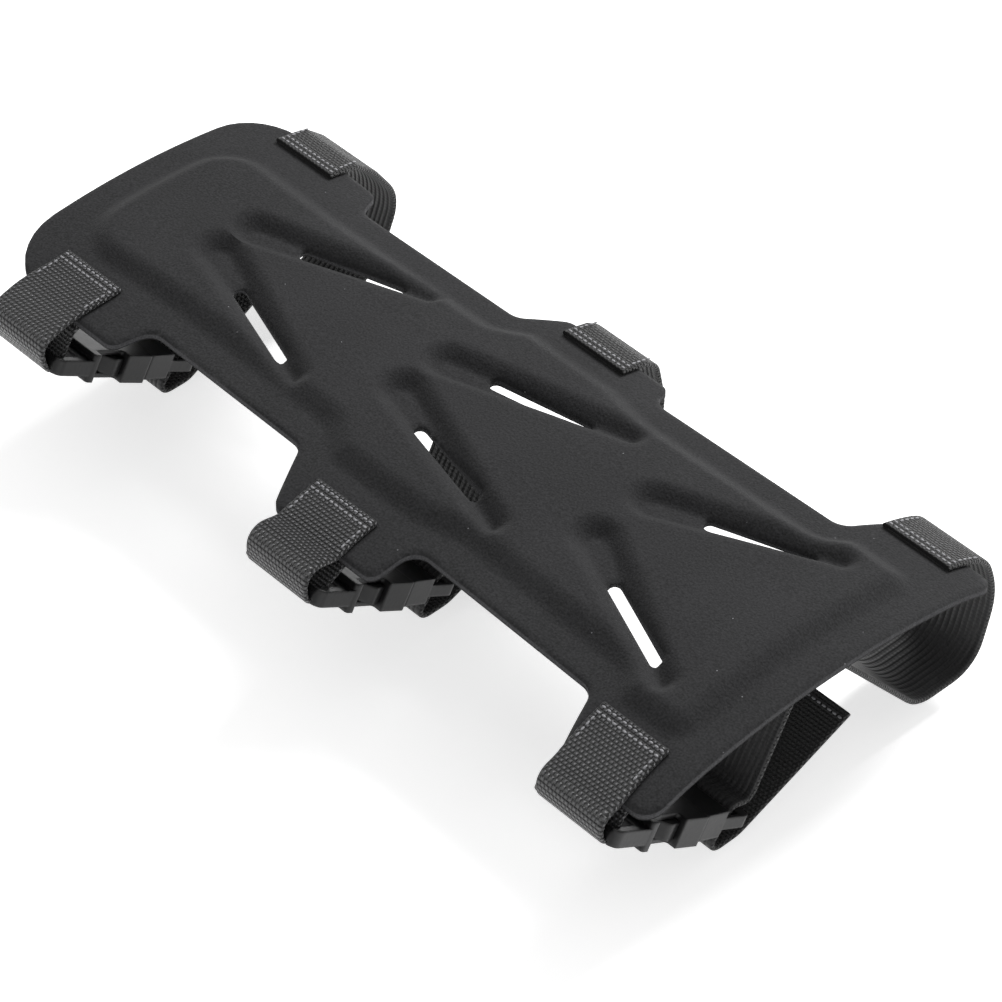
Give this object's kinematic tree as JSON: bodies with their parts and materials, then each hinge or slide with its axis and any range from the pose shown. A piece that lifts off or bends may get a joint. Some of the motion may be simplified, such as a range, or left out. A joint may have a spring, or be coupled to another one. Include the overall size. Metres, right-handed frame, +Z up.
{
  "type": "forearm guard",
  "caption": "Ventilated padded forearm guard: arched foam plate with grooves and slots, elastic straps with side-release buckles.",
  "frame": {"origin": "centre of the bounding box in plan, at the height of the surface that the strap loops lie on", "axes": "+X from the wrist end to the elbow end, +Y across the arm away from the buckles, +Z up, out of the padded face"},
  "size_m": [0.292, 0.1527, 0.062],
  "materials": {
    "face_cloth": "matt heat-moulded cloth",
    "foam": "closed-cell foam",
    "lining_cloth": "matt brushed lining",
    "webbing": "coarse ribbed webbing",
    "elastic": "ribbed woven elastic",
    "buckle_plastic": "satin moulded plastic",
    "thread": "sewing thread"
  },
  "bodies": {
    "guard": {"face_fabric": "face_cloth", "foam_core": "foam", "lining_fabric": "lining_cloth", "wrist_tab": "webbing", "wrist_tab_stitching": "thread", "wrist_socket": "buckle_plastic", "wrist_strap": "elastic", "wrist_strap_stitching": "thread", "wrist_tail_stitching": "thread", "middle_tab": "webbing", "middle_tab_stitching": "thread", "middle_socket": "buckle_plastic", "middle_strap": "elastic", "middle_strap_stitching": "thread", "middle_tail_stitching": "thread", "elbow_tab": "webbing", "elbow_tab_stitching": "thread", "elbow_socket": "buckle_plastic", "elbow_strap": "elastic", "elbow_strap_stitching": "thread", "elbow_tail_stitching": "thread"},
    "wrist_plug_half": {"wrist_plug": "buckle_plastic"},
    "wrist_left_release": {"wrist_left_arm": "buckle_plastic"},
    "wrist_right_release": {"wrist_right_arm": "buckle_plastic"},
    "middle_plug_half": {"middle_plug": "buckle_plastic"},
    "middle_left_release": {"middle_left_arm": "buckle_plastic"},
    "middle_right_release": {"middle_right_arm": "buckle_plastic"},
    "elbow_plug_half": {"elbow_plug": "buckle_plastic"},
    "elbow_left_release": {"elbow_left_arm": "buckle_plastic"},
    "elbow_right_release": {"elbow_right_arm": "buckle_plastic"}
  },
  "joints": [
    {"name": "wrist_buckle_release", "type": "slide", "parent": "guard", "child": "wrist_plug_half", "axis": [0, 0.866, -0.5], "range_m": [0, 0.0185], "deforming": ["wrist_strap", "wrist_left_arm", "wrist_right_arm"]},
    {"name": "wrist_left_squeeze", "type": "hinge", "parent": "wrist_plug_half", "child": "wrist_left_release", "pos_m": [-0.1275, -0.02722, 0.022], "axis": [0, 0.5, 0.866], "range_deg": [0, 12], "stiffness_Nm_per_rad": 0.2},
    {"name": "wrist_right_squeeze", "type": "hinge", "parent": "wrist_plug_half", "child": "wrist_right_release", "pos_m": [-0.1135, -0.02722, 0.022], "axis": [0, -0.5, -0.866], "range_deg": [0, 12], "stiffness_Nm_per_rad": 0.2},
    {"name": "middle_buckle_release", "type": "slide", "parent": "guard", "child": "middle_plug_half", "axis": [0, 0.866, -0.5], "range_m": [0, 0.0185], "deforming": ["middle_strap", "middle_left_arm", "middle_right_arm"]},
    {"name": "middle_left_squeeze", "type": "hinge", "parent": "middle_plug_half", "child": "middle_left_release", "pos_m": [-0.0013, -0.03673, 0.024], "axis": [0, 0.5, 0.866], "range_deg": [0, 12], "stiffness_Nm_per_rad": 0.2},
    {"name": "middle_right_squeeze", "type": "hinge", "parent": "middle_plug_half", "child": "middle_right_release", "pos_m": [0.0127, -0.03673, 0.024], "axis": [0, -0.5, -0.866], "range_deg": [0, 12], "stiffness_Nm_per_rad": 0.2},
    {"name": "elbow_buckle_release", "type": "slide", "parent": "guard", "child": "elbow_plug_half", "axis": [0, 0.866, -0.5], "range_m": [0, 0.0185], "deforming": ["elbow_strap", "elbow_left_arm", "elbow_right_arm"]},
    {"name": "elbow_left_squeeze", "type": "hinge", "parent": "elbow_plug_half", "child": "elbow_left_release", "pos_m": [0.117, -0.03773, 0.0215], "axis": [0, 0.5, 0.866], "range_deg": [0, 12], "stiffness_Nm_per_rad": 0.2},
    {"name": "elbow_right_squeeze", "type": "hinge", "parent": "elbow_plug_half", "child": "elbow_right_release", "pos_m": [0.131, -0.03773, 0.0215], "axis": [0, -0.5, -0.866], "range_deg": [0, 12], "stiffness_Nm_per_rad": 0.2}
  ]
}
